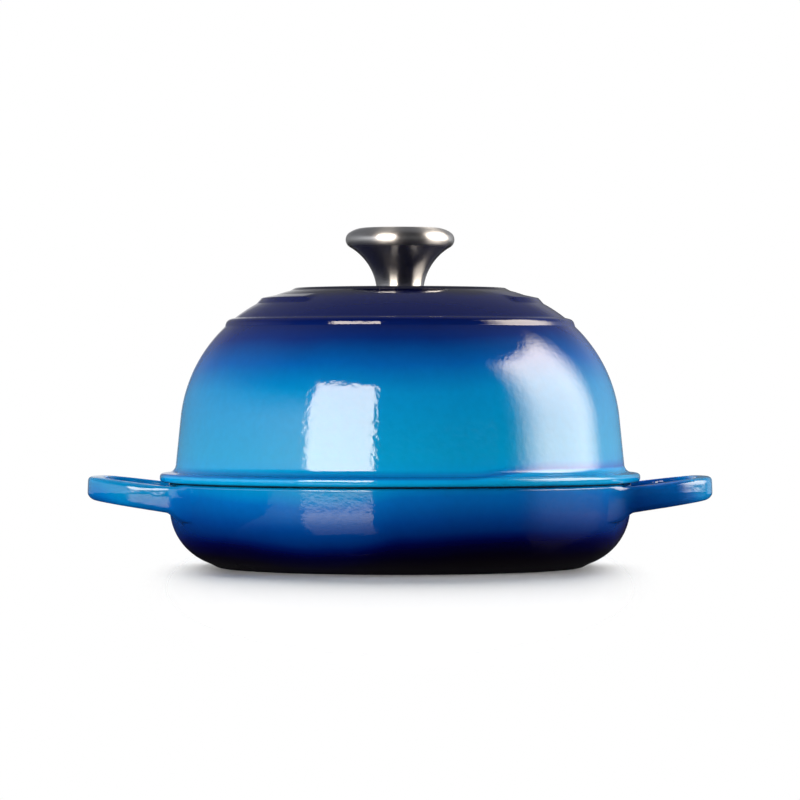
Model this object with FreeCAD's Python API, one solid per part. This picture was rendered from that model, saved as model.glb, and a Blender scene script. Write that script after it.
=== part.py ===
"""Bread cloche: a shallow cast iron pan with two loop handles, under a tall domed lid with a steel knob.

The pan stands on the table at height zero, its axis is Z and its handles lie along X.
Lengths are in millimetres and angles in degrees.
"""

import FreeCAD
import Part
import math
import os

from FreeCAD import Vector

# Pan: one casting, a curved wall on a low foot
PAN_RADIUS = 120.8
PAN_HEIGHT = 44.6
PAN_WALL = 4.2
PAN_FLOOR = 4.8
PAN_CURVE = 30.9
PAN_INNER_CURVE = 26.0
PAN_FLARE = 0.8
RIM_ROUND_SHARE = 0.42
RIM_BEVEL_SHARE = 0.24

# Foot: the ground ring that the pan stands on, bevelled outside and hollow within
FOOT_GAP = 0.5
FOOT_HEIGHT = 1.9
FOOT_BEVEL = 3.2
FOOT_RING = 9.0
FOOT_RECESS = 0.8

# Low rings on the pan's floor, which keep the loaf's base off the iron
FLOOR_RING_COUNT = 4
FLOOR_RING_PITCH = 20.0
FLOOR_RING_WIDTH = 4.0
FLOOR_RING_HEIGHT = 0.9

# Handles: two loops cast with the pan, which rise outward and thin towards the tip
HANDLE_LENGTH = 43.0
HANDLE_HALF_WIDTH = 47.0
HANDLE_TAPER = 10.0
HANDLE_BOW = 120.0
HANDLE_CORNER = 19.0
HANDLE_INNER_CORNER = 9.0
HANDLE_BAR = 10.0
HANDLE_DROP = 1.1
HANDLE_RISE = 4.1
HANDLE_ROOT_DEPTH = 14.1
HANDLE_TIP_DEPTH = 11.4
HANDLE_ROUND_SHARE = 0.42
HANDLE_ROOT_FLARE = 9.0
HANDLE_ROOT_SINK_SHARE = 0.25

# Lid: one casting, a dome with a lip that covers the rim and a skirt that drops inside it
LID_WALL = 4.2
CROWN_WALL = 4.6
LIP_OVERHANG = 4.4
LIP_RISE = 0.9
LIP_THICKNESS = 4.2
LIP_ROUND_SHARE = 0.45
LIP_FILLET = 4.0
SKIRT_DEPTH = 4.0
SKIRT_GAP = 0.8
SKIRT_ROUND = 0.8
DOME_INSET = 3.6
DOME_SIDE = 28.6
DOME_LEAN = 5.66
DOME_INNER_LEAN = 3.8
DOME_CURVE = 76.4
CEILING_SEAT_RADIUS = 14.0
LID_TURN = 6.0

# Crown: three rings stepped out of the dome, each a ledge that ends in a short rounded drop
PLATEAU_RADIUS = 55.2
PLATEAU_STAND = 0.8
PLATEAU_RUN = 2.6
PLATEAU_ROUND = 1.2
RIB_STEP = 17.5
RIB_STAND = 1.6
RIB_RUN = 2.7
RIB_LEDGE = 7.4
RIB_ROUND = 1.5
RIB_GAP_ANGLE = 89.0
RIB_END_SLOPE = 25.0
SHOULDER_STEP = 18.2
SHOULDER_STAND = 2.6
SHOULDER_RUN = 1.4
SHOULDER_LEDGE = 4.2
SHOULDER_ROUND = 1.8
RING_ROOT_SHARE = 0.3

# Knob: a hollow flared shell of stainless steel, with a threaded insert held in its neck
KNOB_RADIUS = 28.6
KNOB_HEIGHT = 31.6
KNOB_NECK_RADIUS = 12.2
KNOB_FLARE = 28.4
KNOB_RIM_ROUND = 4.6
KNOB_TOP_RUN = 5.4
KNOB_TOP_RISE = 1.6
KNOB_WALL = 2.0
INSERT_FLANGE = 2.5
INSERT_SEAT = 0.7
INSERT_WALL = 3.0
INSERT_END = 2.0

# Screw and washers: they clamp the knob from inside the lid
SCREW_RADIUS = 3.0
SCREW_BITE = 9.0
SCREW_SPARE = 1.2
SCREW_HOLE_GAP = 0.5
SCREW_HEAD_RADIUS = 6.0
SCREW_HEAD = 3.6
SCREW_HEAD_ROUND = 1.6
SCREW_SLOT = 1.3
SCREW_SLOT_DEPTH = 1.6
SCREW_SLOT_LENGTH = 7.0
FLAT_WASHER_RADIUS = 8.5
FLAT_WASHER = 1.2
SPRING_WASHER_RADIUS = 5.6
SPRING_WASHER = 1.6
SPRING_WASHER_SLIT = 0.7
SPRING_WASHER_SLANT = 35.0
WASHER_GAP = 0.2

# Every cut runs this far past the faces that it opens
OVERRUN = 5.0

AXIS = Vector(0, 0, 1)
QUARTER_TURN = 90
HALF_TURN = 180
FULL_TURN = 360


class Outline:
    """A closed outline in the plane of radius and height, drawn stop by stop."""

    def __init__(self):
        self.stops = []

    def corner(self, radius, height, rounding=0):
        """Runs straight to a corner, which an arc of that radius rounds off."""
        self.stops.append((Vector(radius, 0, height), rounding, None))

    def arc(self, through, end):
        """Runs to a stop on the arc through a point."""
        self.stops.append((Vector(end[0], 0, end[1]), 0, Vector(through[0], 0, through[1])))

    def rounded(self, index):
        """Where the outline leaves one run, the middle of the corner's arc, and where the next run starts."""
        point, rounding, _ = self.stops[index]
        if not rounding:
            return point, None, point
        back = (self.stops[index - 1][0] - point).normalize()
        ahead = (self.stops[(index + 1) % len(self.stops)][0] - point).normalize()
        half = back.getAngle(ahead) / 2
        run = rounding / math.tan(half)
        inward = (back + ahead).normalize()
        middle = point + inward * (rounding / math.sin(half) - rounding)
        return point + back * run, middle, point + ahead * run

    def face(self):
        edges = []
        leave = self.rounded(-1)[2]
        for index, (_, _, through) in enumerate(self.stops):
            arrive, middle, next_leave = self.rounded(index)
            if through:
                edges.append(Part.Arc(leave, through, arrive).toShape())
            else:
                edges.append(Part.makeLine(leave, arrive))
            if middle:
                edges.append(Part.Arc(arrive, middle, next_leave).toShape())
            leave = next_leave
        return Part.Face(Part.Wire(edges))

    def turned(self, angle=FULL_TURN):
        return self.face().revolve(Vector(), AXIS, angle)


def on_circle(centre, radius, angle):
    """The point of a circle at an angle above the horizontal, as (radius, height)."""
    turn = math.radians(angle)
    return centre[0] + radius * math.cos(turn), centre[1] + radius * math.sin(turn)


def disc(radius, bottom, top):
    return Part.makeCylinder(radius, top - bottom, Vector(0, 0, bottom))


# Pan

rim_radius = PAN_RADIUS + PAN_FLARE
bore_radius = rim_radius - PAN_WALL
rim_round = PAN_WALL * RIM_ROUND_SHARE
rim_bevel = PAN_WALL * RIM_BEVEL_SHARE


def pan_body():
    """The pan's outside as a solid: foot, curved wall and rim."""
    centre = (PAN_RADIUS - PAN_CURVE, FOOT_GAP + PAN_CURVE)
    foot_angle = -math.degrees(math.asin((centre[1] - FOOT_HEIGHT) / PAN_CURVE))
    foot_top = on_circle(centre, PAN_CURVE, foot_angle)
    foot_radius = foot_top[0] - FOOT_BEVEL
    recess_radius = foot_radius - FOOT_RING
    outline = Outline()
    outline.corner(0, FOOT_RECESS)
    outline.corner(recess_radius - FOOT_RECESS, FOOT_RECESS)
    outline.corner(recess_radius, 0)
    outline.corner(foot_radius, 0)
    outline.corner(*foot_top)
    outline.arc(on_circle(centre, PAN_CURVE, foot_angle / 2), (PAN_RADIUS, centre[1]))
    outline.corner(rim_radius, PAN_HEIGHT, rim_round)
    outline.corner(0, PAN_HEIGHT)
    return outline.turned()


def pan_hollow():
    """The inside of the pan, with the low rings of its floor standing into it."""
    inner_radius = PAN_RADIUS - PAN_WALL
    centre = (inner_radius - PAN_INNER_CURVE, PAN_FLOOR + PAN_INNER_CURVE)
    half_ring = FLOOR_RING_WIDTH / 2
    outline = Outline()
    outline.corner(0, PAN_FLOOR)
    for ring in range(FLOOR_RING_COUNT):
        radius = FLOOR_RING_PITCH * (ring + 1)
        outline.corner(radius - half_ring, PAN_FLOOR)
        outline.arc((radius, PAN_FLOOR + FLOOR_RING_HEIGHT), (radius + half_ring, PAN_FLOOR))
    outline.corner(centre[0], PAN_FLOOR)
    outline.arc(on_circle(centre, PAN_INNER_CURVE, -QUARTER_TURN / 2), (inner_radius, centre[1]))
    outline.corner(bore_radius, PAN_HEIGHT - rim_bevel)
    outline.corner(bore_radius + rim_bevel, PAN_HEIGHT)
    outline.corner(bore_radius + rim_bevel, PAN_HEIGHT + OVERRUN)
    outline.corner(0, PAN_HEIGHT + OVERRUN)
    return outline.turned()


def point_at_distance(start, direction, centre, distance):
    """The further point of a straight line that lies a distance from a centre."""
    offset = start - centre
    ahead = offset.dot(direction)
    return start + direction * (math.sqrt(ahead**2 - offset.dot(offset) + distance**2) - ahead)


def handle_plan(inset, corner, side):
    """The handle's plan: its outer edge, flared outward (side 1), or its finger gap, rounded inward (-1)."""
    taper = math.radians(HANDLE_TAPER)
    along = Vector(math.cos(taper), -math.sin(taper), 0)
    outward = Vector(math.sin(taper), math.cos(taper), 0)
    reach = PAN_RADIUS + HANDLE_LENGTH
    wall_point = Vector(PAN_RADIUS, HANDLE_HALF_WIDTH, 0) - outward * inset
    # The tip's corner touches the straight side and, from within, the bowed outer bar
    bow_centre = Vector(reach - HANDLE_BOW, 0, 0)
    bow = HANDLE_BOW - inset
    corner_centre = point_at_distance(wall_point - outward * corner, along, bow_centre, bow - corner)
    tip_direction = (corner_centre - bow_centre).normalize()
    tip = bow_centre + tip_direction * bow
    bend = corner_centre + (tip_direction + outward).normalize() * corner
    side_end = corner_centre + outward * corner
    # The root's arc touches the straight side and a circle sunk a little into the wall
    sunk_radius = PAN_RADIUS - PAN_WALL * HANDLE_ROOT_SINK_SHARE
    flare = side * HANDLE_ROOT_FLARE
    flare_start = wall_point + outward * flare
    flare_centre = point_at_distance(flare_start, along, Vector(), sunk_radius + HANDLE_ROOT_FLARE)
    root_direction = Vector(flare_centre).normalize()
    root = root_direction * sunk_radius
    side_start = flare_centre - outward * flare
    sweep = flare_centre - (root_direction + outward * side).normalize() * HANDLE_ROOT_FLARE
    buried = root_direction * bore_radius
    half = [
        Part.makeLine(buried, root),
        Part.Arc(root, sweep, side_start).toShape(),
        Part.makeLine(side_start, side_end),
        Part.Arc(side_end, bend, tip).toShape(),
    ]
    mirrored = [edge.mirror(Vector(), Vector(0, 1, 0)) for edge in half]
    far_tip = Vector(tip.x, -tip.y, 0)
    far_buried = Vector(buried.x, -buried.y, 0)
    outer_bar = Part.Arc(tip, Vector(reach - inset, 0, 0), far_tip).toShape()
    root_line = Part.makeLine(far_buried, buried)
    return Part.Face(Part.Wire(Part.__sortEdges__(half + [outer_bar] + mirrored + [root_line])))


def lies_outside_wall(edge):
    """True of the handle's long edges, and false of its upright edges and of those at its buried root."""
    ends = [vertex.Point for vertex in edge.Vertexes]
    spread = ends[0] - ends[-1]
    upright = math.hypot(spread.x, spread.y) < Part.Precision.confusion()
    nearest = min(math.hypot(end.x, end.y) for end in ends)
    return not upright and nearest > bore_radius + Part.Precision.confusion()


def handle():
    """One loop handle, on the +X side: its plan and its side view drawn through each other, then rounded."""
    reach = PAN_RADIUS + HANDLE_LENGTH
    top = PAN_HEIGHT - HANDLE_DROP
    bottom = top - HANDLE_ROOT_DEPTH
    tip_top = top + HANDLE_RISE
    tip_bottom = tip_top - HANDLE_TIP_DEPTH
    # Both slopes are carried on from the wall to the axis, so that they cover the buried root
    top_slope = (tip_top - top) / HANDLE_LENGTH
    bottom_slope = (tip_bottom - bottom) / HANDLE_LENGTH
    side_view = Outline()
    side_view.corner(0, bottom - bottom_slope * PAN_RADIUS)
    side_view.corner(reach, tip_bottom)
    side_view.corner(reach, tip_top)
    side_view.corner(0, top - top_slope * PAN_RADIUS)
    slab = side_view.face().extrude(Vector(0, 2 * reach, 0))
    slab.translate(Vector(0, -reach, 0))
    plan = handle_plan(0, HANDLE_CORNER, 1).cut(handle_plan(HANDLE_BAR, HANDLE_INNER_CORNER, -1))
    loop = plan.extrude(AXIS * (tip_top + OVERRUN)).common(slab).Solids[0]
    rounding = HANDLE_ROUND_SHARE * min(HANDLE_BAR, HANDLE_TIP_DEPTH)
    return loop.makeFillet(rounding, [edge for edge in loop.Edges if lies_outside_wall(edge)])


def base_pan():
    right = handle()
    left = right.copy()
    left.rotate(Vector(), AXIS, HALF_TURN)
    return pan_body().fuse([right, left]).cut(pan_hollow()).removeSplitter()


# Lid

lid_bottom = PAN_HEIGHT - SKIRT_DEPTH
lip_radius = rim_radius + LIP_OVERHANG
lip_top = PAN_HEIGHT + LIP_RISE + LIP_THICKNESS
dome_foot = rim_radius - DOME_INSET
dome_start = (dome_foot - DOME_SIDE * math.tan(math.radians(DOME_LEAN)), lip_top + DOME_SIDE)
dome_centre = on_circle(dome_start, DOME_CURVE, DOME_LEAN + HALF_TURN)


def dome_angle(radius, curve=DOME_CURVE):
    """How far up its curve the dome is at a distance from the axis, in degrees."""
    return math.degrees(math.acos((radius - dome_centre[0]) / curve))


def dome_height(radius):
    return on_circle(dome_centre, DOME_CURVE, dome_angle(radius))[1]


rib_radius = PLATEAU_RADIUS + RIB_STEP
shoulder_radius = rib_radius + SHOULDER_STEP
plateau_height = dome_height(PLATEAU_RADIUS) + PLATEAU_STAND
ceiling_height = plateau_height - CROWN_WALL


def lid_body():
    """The lid's outside as a solid: skirt, seat, lip, dome and the flat top that carries the knob."""
    skirt_radius = bore_radius - SKIRT_GAP
    seat_edge = rim_radius - rim_round
    lip_round = LIP_THICKNESS * LIP_ROUND_SHARE
    plateau_foot = PLATEAU_RADIUS + PLATEAU_RUN
    end_angle = dome_angle(plateau_foot)
    outline = Outline()
    outline.corner(0, lid_bottom)
    outline.corner(skirt_radius, lid_bottom, SKIRT_ROUND)
    outline.corner(skirt_radius, PAN_HEIGHT)
    outline.corner(seat_edge, PAN_HEIGHT)
    outline.corner(lip_radius, PAN_HEIGHT + LIP_RISE, lip_round)
    outline.corner(lip_radius, lip_top, lip_round)
    outline.corner(dome_foot, lip_top, LIP_FILLET)
    outline.corner(*dome_start)
    outline.arc(
        on_circle(dome_centre, DOME_CURVE, (DOME_LEAN + end_angle) / 2),
        (plateau_foot, dome_height(plateau_foot)),
    )
    outline.corner(PLATEAU_RADIUS, plateau_height, PLATEAU_ROUND)
    outline.corner(0, plateau_height)
    return outline.turned()


def lid_hollow():
    """The inside of the lid, with a flat seat for the washer at its top."""
    curve = DOME_CURVE - LID_WALL
    start = on_circle(dome_centre, curve, DOME_INNER_LEAN)
    end_angle = dome_angle(PLATEAU_RADIUS - PLATEAU_RUN, curve)
    mouth = lid_bottom - OVERRUN
    outline = Outline()
    outline.corner(0, mouth)
    outline.corner(start[0] + (start[1] - mouth) * math.tan(math.radians(DOME_INNER_LEAN)), mouth)
    outline.corner(*start)
    outline.arc(
        on_circle(dome_centre, curve, (DOME_INNER_LEAN + end_angle) / 2),
        on_circle(dome_centre, curve, end_angle),
    )
    outline.corner(CEILING_SEAT_RADIUS, ceiling_height)
    outline.corner(0, ceiling_height)
    return outline.turned()


def crown_ring(radius, stand, run, ledge, rounding, angle=FULL_TURN):
    """A step in the dome: a ledge that leaves the curve, an edge that stands proud, and a short drop."""
    edge = Vector(radius, 0, dome_height(radius) + stand)
    outline = Outline()
    outline.corner(edge.x, edge.z, rounding)
    # The ledge and the drop carry on under the surface, so that the ring is rooted in the wall
    for foot in (radius - ledge, radius + run):
        root = edge + (Vector(foot, 0, dome_height(foot)) - edge) * (1 + RING_ROOT_SHARE)
        outline.corner(root.x, root.z)
    return outline.turned(angle)


def rib():
    """The middle ring, which stops short of the front and ramps down to the dome at both ends."""
    ring = crown_ring(rib_radius, RIB_STAND, RIB_RUN, RIB_LEDGE, RIB_ROUND, FULL_TURN - RIB_GAP_ANGLE)
    ring.rotate(Vector(), AXIS, RIB_GAP_ANGLE / 2)
    ramp_foot = Vector(0, 0, dome_height(rib_radius + RIB_RUN))
    ramp = Part.makeBox(lip_radius, RIB_STEP, 2 * RIB_STEP, ramp_foot - Vector(0, RIB_STEP, RIB_STEP))
    ramp.rotate(ramp_foot, Vector(1, 0, 0), RIB_END_SLOPE - QUARTER_TURN)
    ramp.rotate(Vector(), AXIS, RIB_GAP_ANGLE / 2)
    ring = ring.cut([ramp, ramp.mirror(Vector(), Vector(0, 1, 0))])
    ring.rotate(Vector(), AXIS, LID_TURN - QUARTER_TURN)
    return ring


def dome_lid():
    shoulder = crown_ring(shoulder_radius, SHOULDER_STAND, SHOULDER_RUN, SHOULDER_LEDGE, SHOULDER_ROUND)
    screw_hole = disc(SCREW_RADIUS + SCREW_HOLE_GAP, lid_bottom, plateau_height + OVERRUN)
    return lid_body().fuse([shoulder, rib()]).cut([lid_hollow(), screw_hole]).removeSplitter()


# Knob

knob_top = plateau_height + KNOB_HEIGHT
rim_centre = (KNOB_RADIUS - KNOB_RIM_ROUND, knob_top - KNOB_TOP_RISE - KNOB_RIM_ROUND)
flare_radius = KNOB_NECK_RADIUS + KNOB_FLARE
flare_drop = math.sqrt((KNOB_FLARE + KNOB_RIM_ROUND) ** 2 - (flare_radius - rim_centre[0]) ** 2)
flare_centre = (flare_radius, rim_centre[1] - flare_drop)


def neck_radius(height, inset):
    """The knob's radius at a height on its flare, drawn in by a wall."""
    return flare_radius - math.sqrt((KNOB_FLARE + inset) ** 2 - (height - flare_centre[1]) ** 2)


def knob_form(bottom, inset):
    """The knob as a solid, drawn in by a wall: a flared neck, a round rim and a low crowned top."""
    rim = KNOB_RIM_ROUND - inset
    flare = KNOB_FLARE + inset
    # The neck's arc and the rim's arc touch on the line between their centres
    touch_angle = math.degrees(math.atan2(flare_centre[1] - rim_centre[1], flare_radius - rim_centre[0]))
    foot_angle = math.degrees(math.asin((bottom - flare_centre[1]) / flare))
    neck_middle = HALF_TURN + (touch_angle - foot_angle) / 2
    # The top's flatter arc leaves the rim's arc where both have one tangent, and ends level
    crown_angle = QUARTER_TURN - 2 * math.degrees(math.atan(KNOB_TOP_RISE / KNOB_TOP_RUN))
    crown = KNOB_TOP_RUN / math.cos(math.radians(crown_angle))
    crown_centre = on_circle(rim_centre, crown, crown_angle + HALF_TURN)
    outline = Outline()
    outline.corner(0, bottom)
    outline.corner(neck_radius(bottom, inset), bottom)
    outline.arc(on_circle(flare_centre, flare, neck_middle), on_circle(rim_centre, rim, touch_angle))
    outline.arc(
        on_circle(rim_centre, rim, (touch_angle + crown_angle) / 2),
        on_circle(rim_centre, rim, crown_angle),
    )
    outline.arc(
        on_circle(crown_centre, crown + rim, (crown_angle + QUARTER_TURN) / 2),
        on_circle(crown_centre, crown + rim, QUARTER_TURN),
    )
    outline.corner(0, knob_top - inset)
    return outline.turned()


flange_radius = neck_radius(plateau_height, KNOB_WALL) + INSERT_SEAT
flange_top = plateau_height + INSERT_FLANGE


def knob_shell():
    hollow = knob_form(plateau_height, KNOB_WALL)
    flange_seat = disc(flange_radius, plateau_height, flange_top)
    return knob_form(plateau_height, 0).cut([hollow, flange_seat]).removeSplitter()


def knob_insert():
    """A bush with a flange that closes the knob's foot, and a blind threaded hole."""
    hole_end = plateau_height + SCREW_BITE + SCREW_SPARE
    flange = disc(flange_radius, plateau_height, flange_top)
    boss = disc(SCREW_RADIUS + INSERT_WALL, plateau_height, hole_end + INSERT_END)
    return flange.fuse(boss).cut(disc(SCREW_RADIUS, plateau_height, hole_end)).removeSplitter()


# Screw and washers, stacked down from the lid's ceiling

flat_washer_bottom = ceiling_height - FLAT_WASHER
spring_washer_bottom = flat_washer_bottom - SPRING_WASHER
screw_bottom = spring_washer_bottom - SCREW_HEAD
washer_bore = SCREW_RADIUS + WASHER_GAP


def flat_washer():
    ring = disc(FLAT_WASHER_RADIUS, flat_washer_bottom, ceiling_height)
    return ring.cut(disc(washer_bore, flat_washer_bottom, ceiling_height))


def spring_washer():
    """A split ring, drawn flat by the screw, with its slit cut on the slant."""
    ring = disc(SPRING_WASHER_RADIUS, spring_washer_bottom, flat_washer_bottom)
    ring = ring.cut(disc(washer_bore, spring_washer_bottom, flat_washer_bottom))
    middle = Vector(0, 0, (spring_washer_bottom + flat_washer_bottom) / 2)
    corner = middle - Vector(0, SPRING_WASHER_SLIT / 2, SPRING_WASHER)
    slit = Part.makeBox(SPRING_WASHER_RADIUS + OVERRUN, SPRING_WASHER_SLIT, 2 * SPRING_WASHER, corner)
    slit.rotate(middle, Vector(1, 0, 0), SPRING_WASHER_SLANT)
    return ring.cut(slit)


def knob_screw():
    """A round-headed screw with a cross slot, from the head's face up to its end in the insert."""
    outline = Outline()
    outline.corner(0, screw_bottom)
    outline.corner(SCREW_HEAD_RADIUS, screw_bottom, SCREW_HEAD_ROUND)
    outline.corner(SCREW_HEAD_RADIUS, spring_washer_bottom)
    outline.corner(SCREW_RADIUS, spring_washer_bottom)
    outline.corner(SCREW_RADIUS, plateau_height + SCREW_BITE)
    outline.corner(0, plateau_height + SCREW_BITE)
    corner = Vector(-SCREW_SLOT_LENGTH / 2, -SCREW_SLOT / 2, screw_bottom - OVERRUN)
    slot = Part.makeBox(SCREW_SLOT_LENGTH, SCREW_SLOT, SCREW_SLOT_DEPTH + OVERRUN, corner)
    cross = slot.copy()
    cross.rotate(Vector(), AXIS, QUARTER_TURN)
    return outline.turned().cut([slot, cross])


pieces = {
    "base_pan": base_pan(),
    "dome_lid": dome_lid(),
    "knob_shell": knob_shell(),
    "knob_insert": knob_insert(),
    "knob_screw": knob_screw(),
    "flat_washer": flat_washer(),
    "spring_washer": spring_washer(),
}
os.makedirs("parts", exist_ok=True)
for name, shape in pieces.items():
    shape.exportStep(f"parts/{name}.step")
    box = shape.optimalBoundingBox()
    print(name, "valid" if shape.isValid() else "INVALID", len(shape.Solids), "solid", box)
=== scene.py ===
import math

import bmesh
import bpy
import numpy as np
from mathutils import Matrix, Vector


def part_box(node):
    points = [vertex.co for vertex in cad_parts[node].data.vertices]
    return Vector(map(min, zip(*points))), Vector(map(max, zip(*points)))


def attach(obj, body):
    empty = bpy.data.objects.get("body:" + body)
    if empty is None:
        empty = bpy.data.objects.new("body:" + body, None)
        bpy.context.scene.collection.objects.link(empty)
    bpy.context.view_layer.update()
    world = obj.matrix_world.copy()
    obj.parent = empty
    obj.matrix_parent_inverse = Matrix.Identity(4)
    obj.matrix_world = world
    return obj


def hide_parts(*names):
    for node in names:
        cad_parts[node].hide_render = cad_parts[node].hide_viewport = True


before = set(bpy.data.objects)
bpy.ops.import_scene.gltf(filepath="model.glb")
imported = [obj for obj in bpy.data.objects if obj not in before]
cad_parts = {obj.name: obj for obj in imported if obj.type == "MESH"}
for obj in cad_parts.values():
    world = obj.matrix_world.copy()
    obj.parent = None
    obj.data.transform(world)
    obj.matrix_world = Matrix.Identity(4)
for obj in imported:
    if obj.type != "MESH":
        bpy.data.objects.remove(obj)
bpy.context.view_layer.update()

# Pan with its two loop handles: one iron casting, coated all over in vitreous enamel.
# The outside is sprayed blue and shaded to near black at the foot, the inside is satin black.
# The lid rests on its rim, and the foot's ring is ground flat.

rim_radius = 0.1216
rim_height = 0.0442
rim_round = 0.0016
rim_bevel = 0.0010
wall_radius = 0.1208
wall = 0.0042
wall_bend = 0.0040
outer_curve = 0.0309
outer_lift = 0.0005
inner_curve = 0.0260
floor_height = 0.0048

floor_ring_count = 4
floor_ring_pitch = 0.020
floor_ring_half_width = 0.0020
floor_ring_height = 0.0009

foot_radius = 0.0959
foot_height = 0.0019
foot_bevel = 0.0032
foot_recess_radius = 0.0869
foot_recess = 0.0008
foot_round = 0.0005
foot_fillet = 0.0004

handle_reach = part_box("base_pan")[1].x
handle_half_width = 0.047
handle_taper = math.radians(10)
handle_bow = 0.120
handle_corner = 0.019
handle_inner_corner = 0.009
handle_bar = 0.0088
handle_top = 0.0433
handle_rise = 0.0053
handle_crown = 0.0013
handle_crown_run_share = 0.3
handle_root_depth = 0.0136
handle_tip_depth = 0.0124
handle_top_round = 0.0018
handle_low_round = 0.0032
handle_part_drop = 0.0050
handle_part_fall = 0.0050
handle_upper_draft = math.radians(2)
handle_lower_draft = math.radians(4)
handle_blend = 0.0088
handle_blend_rise = 0.0015
handle_root_sag = 0.0040
handle_sag_run = 0.0070
handle_inner_fillet = 0.0060
handle_root_fillet = 0.0016
handle_step_run = 0.0030

ripple_depth = 0.00003
ripple_length = 0.022
ripple_ways = ((1.0, 0.0, 0.3), (0.0, 0.8, -0.6), (0.4, -0.3, 1.0))

pan_cell = 0.0012


def rounded_both(one, other, rounding):
    """Distance to what lies inside both of two solids, with the edge between them rounded."""
    corner = np.hypot(np.maximum(one + rounding, 0), np.maximum(other + rounding, 0))
    return np.minimum(np.maximum(one, other), -rounding) + corner


def filleted_either(one, other, fillet):
    """Distance to two solids together, with a fillet in the corner between them."""
    corner = np.hypot(np.maximum(fillet - one, 0), np.maximum(fillet - other, 0))
    return np.maximum(np.minimum(one, other), fillet) - corner


def smooth_share(value, start, end):
    """0 up to start and 1 from end on, with a soft turn at both."""
    share = np.clip((value - start) / (end - start), 0, 1)
    return share * share * (3 - 2 * share)


def bowl(radius, height, widest, curve, lowest):
    """Distance to a bowl with an upright wall and a round lower corner, open upward for ever."""
    across = radius - (widest - curve)
    below = (lowest + curve) - height
    corner = np.hypot(np.maximum(across, 0), np.maximum(below, 0))
    return corner + np.minimum(np.maximum(across, below), 0) - curve


def handle_plan(x, y, inset, corner):
    """Distance to the handle's outline from above, drawn in by an inset."""
    side = (x - wall_radius) * math.sin(handle_taper)
    side = side + (np.abs(y) - handle_half_width) * math.cos(handle_taper) + inset
    bow = np.hypot(x - (handle_reach - handle_bow), y) - handle_bow + inset
    return rounded_both(side, bow, corner)


def handle_loops(x, y, z):
    """Distance to both handles, which rise and thin outward, with no top face yet.

    Gives also the fillet where they meet the pan's wall: wide outside, and sharp at the underside.
    """
    out = np.abs(x)
    share = (out - wall_radius) / (handle_reach - wall_radius)
    part_line = handle_top + handle_rise * share - handle_part_drop - handle_part_fall * share**2
    off_line = z - part_line
    draft_slope = np.where(off_line > 0, math.tan(handle_upper_draft), -math.tan(handle_lower_draft))
    draft = off_line * draft_slope
    outer = handle_plan(out, y, draft, handle_corner)
    inner = handle_plan(out, y, handle_bar - draft, handle_inner_corner)
    root_bottom = handle_top - handle_root_depth
    tip_bottom = handle_top + handle_rise - handle_tip_depth
    sag = handle_root_sag * (1 - smooth_share(np.hypot(x, y) - wall_radius, 0, handle_sag_run))
    bottom = root_bottom + (tip_bottom - root_bottom) * share - sag
    loop = rounded_both(np.maximum(outer, -inner), bottom - z, handle_low_round)
    outside_share = smooth_share(outer + inner, -handle_bar / 2, handle_bar / 2)
    wide = handle_inner_fillet + (handle_blend - handle_inner_fillet) * outside_share
    off_bottom = smooth_share(z - bottom, 0, handle_blend_rise)
    return loop, handle_root_fillet + (wide - handle_root_fillet) * off_bottom


def ripple(x, y, z):
    """The enamel's slight waves, as a depth under its full thickness."""
    turn = 2 * math.pi / ripple_length
    waves = sum(np.sin(turn * (by_x * x + by_y * y + by_z * z)) for by_x, by_y, by_z in ripple_ways)
    return ripple_depth * (1 + waves / len(ripple_ways)) / 2


def pan_distance(x, y, z):
    """Distance to the whole pan, negative inside the iron."""
    radius = np.hypot(x, y)
    straight_start = outer_lift + outer_curve
    bend = np.clip(z - straight_start + wall_bend, 0, wall_bend)
    leaning = np.clip(z - straight_start, 0, rim_height - straight_start)
    lean_share = (rim_radius - wall_radius) / (wall_bend / 2 + rim_height - straight_start)
    flare = lean_share * (bend**2 / (2 * wall_bend) + leaning)
    outside = bowl(radius - flare, z, wall_radius, outer_curve, outer_lift)
    sides = filleted_either(outside, *handle_loops(x, y, z)) + ripple(x, y, z)
    # One top face runs from the level rim down a soft step and out along the rising handles
    step = smooth_share(radius, rim_radius, rim_radius + handle_step_run)
    out = np.maximum(np.abs(x), wall_radius)
    share = (out - wall_radius) / (handle_reach - wall_radius)
    from_inside = np.clip(1 + handle_plan(out, y, 0, handle_corner) / handle_bar, 0, 1)
    crown = handle_crown * smooth_share(share, 0, handle_crown_run_share) * from_inside**2
    top = rim_height + (handle_top + handle_rise * share - crown - rim_height) * step
    solid = rounded_both(sides, z - top, rim_round + (handle_top_round - rim_round) * step)
    rings = np.zeros_like(radius)
    for ring in range(1, floor_ring_count + 1):
        across = (radius - ring * floor_ring_pitch) / floor_ring_half_width
        rings = np.maximum(rings, floor_ring_height * (1 - across**2))
    hollow = bowl(radius - flare, z - rings, wall_radius - wall, inner_curve, floor_height)
    pan = rounded_both(solid, -hollow, rim_bevel)
    lean = math.atan2(foot_bevel, foot_height)
    foot_side = (radius - foot_radius) * math.cos(lean) - z * math.sin(lean)
    foot = np.maximum(foot_side, z - floor_height / 2)
    pan = filleted_either(pan, foot, foot_fillet)
    recess = np.maximum(radius - foot_recess_radius, z - foot_recess)
    return rounded_both(rounded_both(pan, -recess, foot_round), -z, foot_round)


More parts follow.
